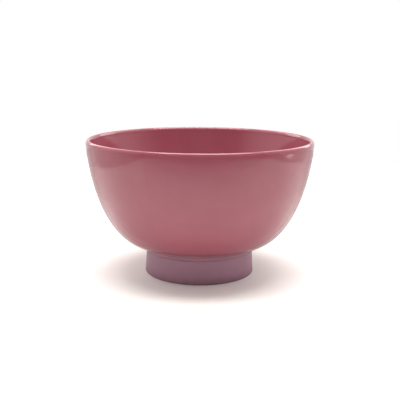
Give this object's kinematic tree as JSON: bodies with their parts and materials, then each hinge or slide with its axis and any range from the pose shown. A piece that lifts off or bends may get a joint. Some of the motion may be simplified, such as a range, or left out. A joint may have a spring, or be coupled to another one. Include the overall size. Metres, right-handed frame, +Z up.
{
  "type": "lacquer bowl",
  "caption": "Round footed soup bowl in red lacquer over a turned wooden core, with a deep rounded wall, a thin rolled lip and a slightly flared foot ring.",
  "frame": {"origin": "centre of the foot ring's standing plane", "axes": "+Z up along the bowl's axis, out of its mouth; X and Y are free because the bowl is round"},
  "size_m": [0.12, 0.12, 0.072],
  "materials": {
    "wood": "turned and left matt under the coats",
    "paste": "cured paste of lacquer and wood dust, matt",
    "cloth": "plain-woven hemp soaked in lacquer",
    "ground": "ground flat with stone, matt",
    "lacquer": "brushed and left glossy"
  },
  "bodies": {
    "root": {"bowl_body_core": "wood", "foot_ring_core": "wood", "foot_joint_paste": "paste", "rim_cloth": "cloth", "well_cloth": "cloth", "foot_cloth": "cloth", "ground_coat_inside": "ground", "ground_coat_outside": "ground", "ground_coat_foot": "ground", "ground_coat_underside": "ground", "lacquer_inside": "lacquer", "lacquer_outside": "lacquer", "lacquer_foot": "lacquer", "lacquer_underside": "lacquer"}
  },
  "joints": []
}
